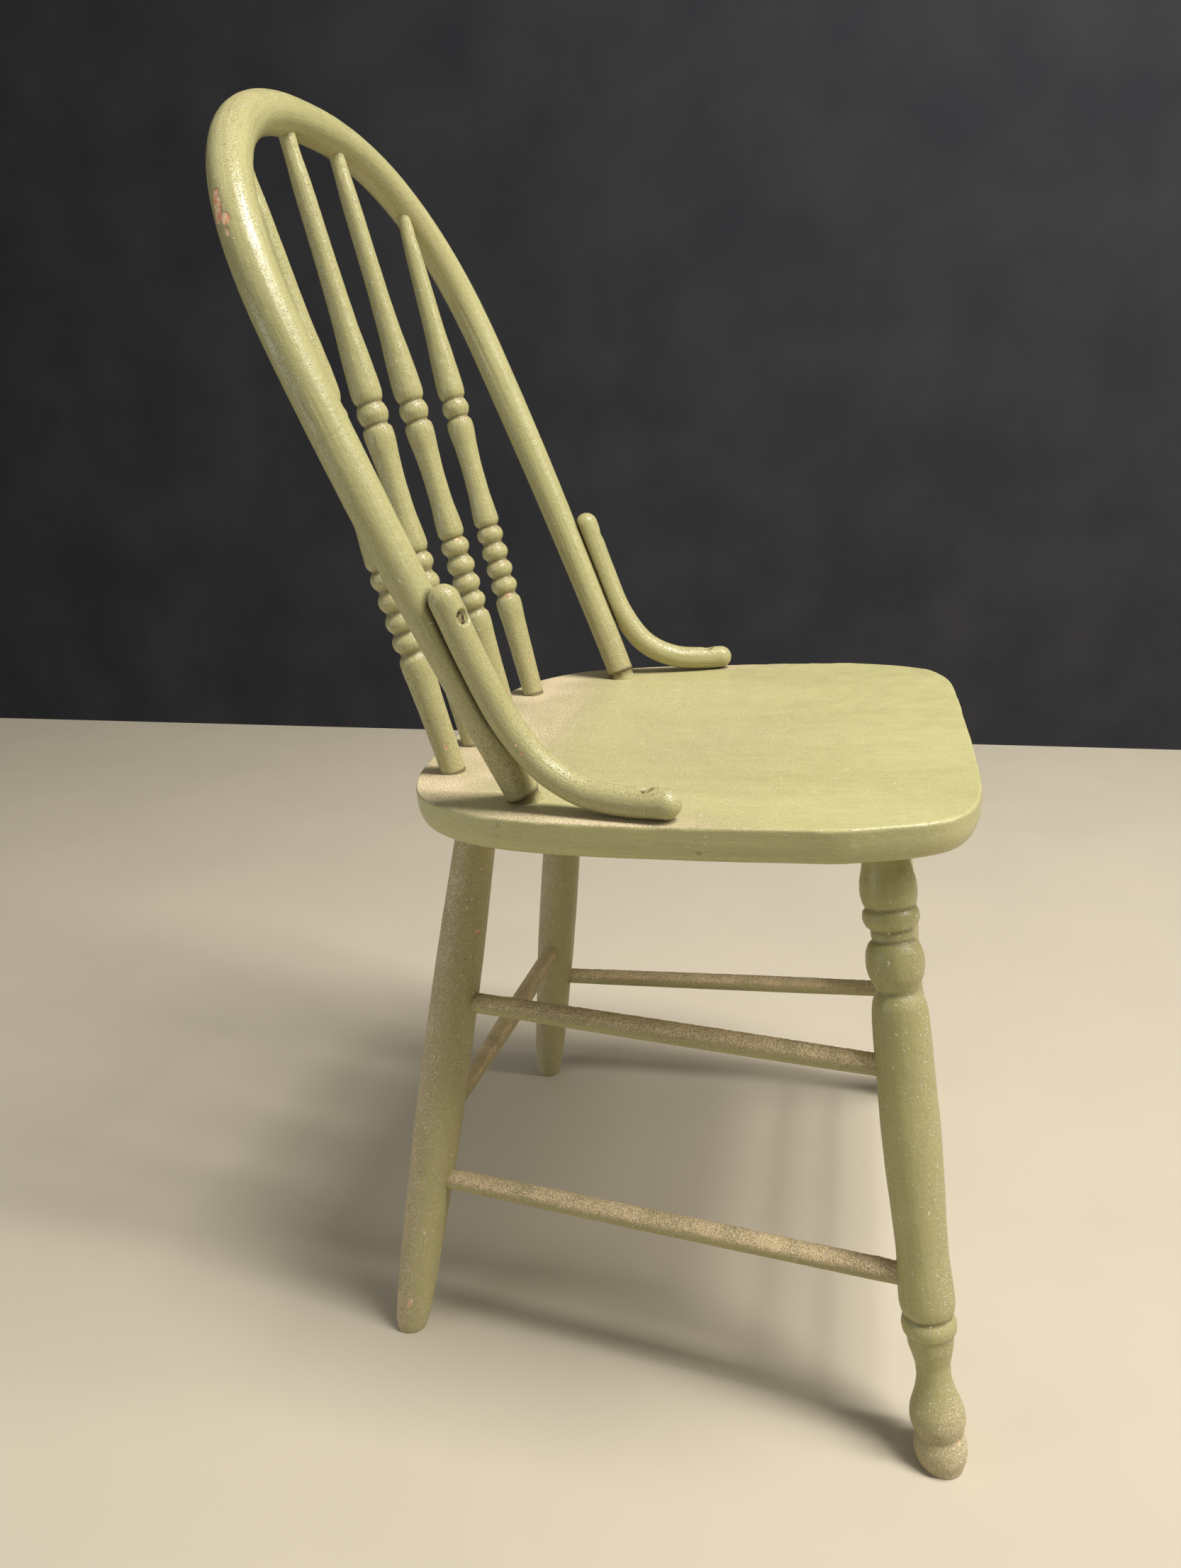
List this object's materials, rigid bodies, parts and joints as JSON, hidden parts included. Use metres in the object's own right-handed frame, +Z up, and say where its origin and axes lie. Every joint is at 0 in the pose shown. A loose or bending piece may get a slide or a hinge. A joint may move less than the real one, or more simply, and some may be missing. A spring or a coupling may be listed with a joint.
{
  "type": "hoop-back dining chair",
  "caption": "Painted wooden hoop-back dining chair with a plank seat, turned spindles, splayed turned front legs, stretchers and bent braces.",
  "frame": {"origin": "on the floor, at the middle of the chair's bounding box seen from above", "axes": "+Z up; the sitter faces -Y, so the back is towards +Y; +X is the sitter's left"},
  "size_m": [0.4566, 0.4784, 0.8688],
  "materials": {
    "seat_paint": "satin brushed paint, sage olive, dusty at the rim",
    "back_paint": "satin to gloss brushed paint, sage olive, a few chips",
    "leg_paint": "satin brushed paint, sage olive, dusty in the grooves",
    "stretcher_paint": "satin paint under heavy tan dust",
    "screw_steel": "dull, old slotted wood screws"
  },
  "bodies": {
    "root": {"seat": "seat_paint", "hoop": "back_paint", "spindle_outer_right": "back_paint", "spindle_inner_right": "back_paint", "spindle_inner_left": "back_paint", "spindle_outer_left": "back_paint", "brace_right": "back_paint", "brace_left": "back_paint", "screw_hoop_right": "screw_steel", "screw_hoop_left": "screw_steel", "screw_seat_right": "screw_steel", "screw_seat_left": "screw_steel", "front_leg_right": "leg_paint", "front_leg_left": "leg_paint", "rear_leg_right": "leg_paint", "rear_leg_left": "leg_paint", "side_stretcher_upper_right": "stretcher_paint", "side_stretcher_lower_right": "stretcher_paint", "side_stretcher_upper_left": "stretcher_paint", "side_stretcher_lower_left": "stretcher_paint", "rear_stretcher": "stretcher_paint", "front_stretcher_upper": "stretcher_paint", "front_stretcher_lower": "stretcher_paint"}
  },
  "joints": []
}
